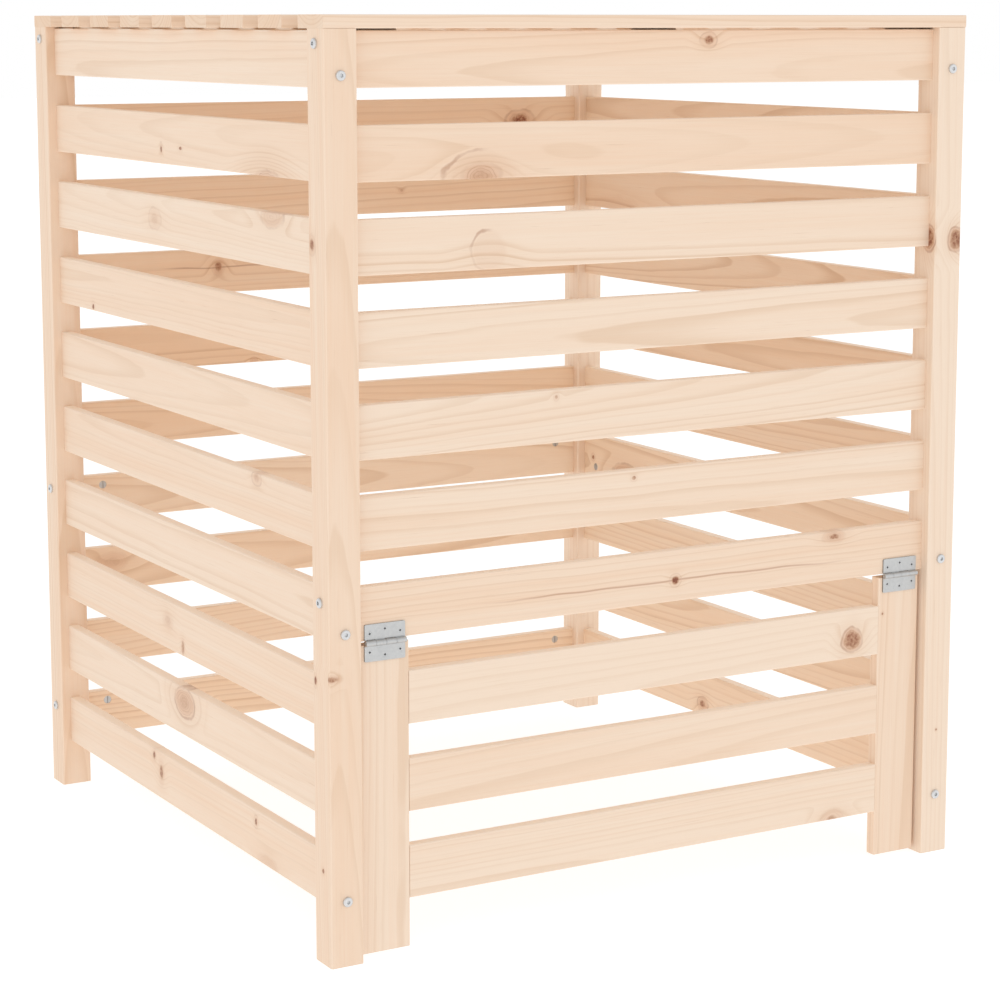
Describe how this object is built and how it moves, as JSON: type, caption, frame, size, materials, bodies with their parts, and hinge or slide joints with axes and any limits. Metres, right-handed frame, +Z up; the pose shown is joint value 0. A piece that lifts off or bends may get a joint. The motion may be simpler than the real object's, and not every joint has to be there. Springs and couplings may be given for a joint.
{
  "type": "compost bin",
  "caption": "Square slatted timber compost bin with corner posts, a loose slatted lid and a hinged flap at the bottom front for taking compost out.",
  "frame": {"origin": "on the ground, under the middle of the bin", "axes": "+Z up, the flap side faces -Y, +X to the right of someone who faces the flap"},
  "size_m": [0.8306, 0.8306, 0.995],
  "materials": {
    "pine": "planed, untreated pine with knots, eased edges",
    "dowel_wood": "plain hardwood dowel",
    "zinc_steel": "bright zinc plate, satin"
  },
  "bodies": {
    "frame": {"post_front_left": "pine", "post_front_right": "pine", "post_back_left": "pine", "post_back_right": "pine", "left_slat_1": "pine", "left_slat_2": "pine", "left_slat_3": "pine", "left_slat_4": "pine", "left_slat_5": "pine", "left_slat_6": "pine", "left_slat_7": "pine", "left_slat_8": "pine", "left_slat_9": "pine", "left_slat_10": "pine", "right_slat_1": "pine", "right_slat_2": "pine", "right_slat_3": "pine", "right_slat_4": "pine", "right_slat_5": "pine", "right_slat_6": "pine", "right_slat_7": "pine", "right_slat_8": "pine", "right_slat_9": "pine", "right_slat_10": "pine", "back_slat_1": "pine", "back_slat_2": "pine", "back_slat_3": "pine", "back_slat_4": "pine", "back_slat_5": "pine", "back_slat_6": "pine", "back_slat_7": "pine", "back_slat_8": "pine", "back_slat_9": "pine", "back_slat_10": "pine", "front_slat_1": "pine", "front_slat_2": "pine", "front_slat_3": "pine", "front_slat_4": "pine", "front_slat_5": "pine", "front_slat_6": "pine", "front_slat_7": "pine", "slat_dowels": "dowel_wood", "post_bolts": "zinc_steel", "barrel_nuts": "zinc_steel", "hinge_frame_leaves": "zinc_steel", "hinge_pins": "zinc_steel", "frame_hinge_screws": "zinc_steel"},
    "flap": {"flap_stile_left": "pine", "flap_stile_right": "pine", "flap_slat_1": "pine", "flap_slat_2": "pine", "flap_slat_3": "pine", "flap_dowels": "dowel_wood", "hinge_flap_leaves": "zinc_steel", "flap_hinge_screws": "zinc_steel"},
    "lid": {"lid_boards": "pine", "lid_batten_left": "pine", "lid_batten_middle": "pine", "lid_batten_right": "pine", "lid_screws": "zinc_steel"}
  },
  "joints": [
    {"name": "flap_hinge", "type": "hinge", "parent": "frame", "child": "flap", "pos_m": [0, -0.4033, 0.34342], "axis": [-1, 0, 0], "range_deg": [-12, 175]},
    {"name": "lid_lift", "type": "slide", "parent": "frame", "child": "lid", "axis": [0, 0, 1], "range_m": [0, 0.35]}
  ]
}
